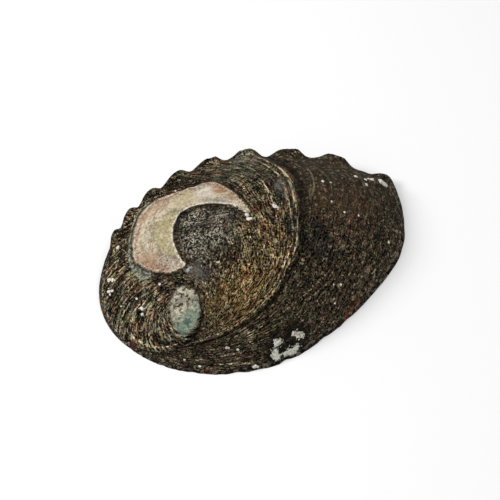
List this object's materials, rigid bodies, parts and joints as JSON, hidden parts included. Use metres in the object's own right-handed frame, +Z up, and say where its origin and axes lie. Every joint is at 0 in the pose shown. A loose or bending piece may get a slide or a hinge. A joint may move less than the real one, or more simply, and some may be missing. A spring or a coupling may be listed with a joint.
{
  "type": "abalone shell",
  "caption": "Empty ear-shaped sea snail shell: a low ribbed dome with a row of open pores along one shoulder, a flat spire near one end and an open pearly bowl beneath.",
  "frame": {"origin": "middle of the footprint, on the surface that the rim rests on", "axes": "+X along the length, to the end that grew last; +Y to the side with the row of pores; +Z up, out of the top of the dome"},
  "size_m": [0.1102, 0.075, 0.0281],
  "materials": {
    "shell": "rough weathered brown-grey outside, worn to pale mother of pearl in a crescent near the spire, glossy mother of pearl inside"
  },
  "bodies": {
    "root": {"shell": "shell"}
  },
  "joints": []
}
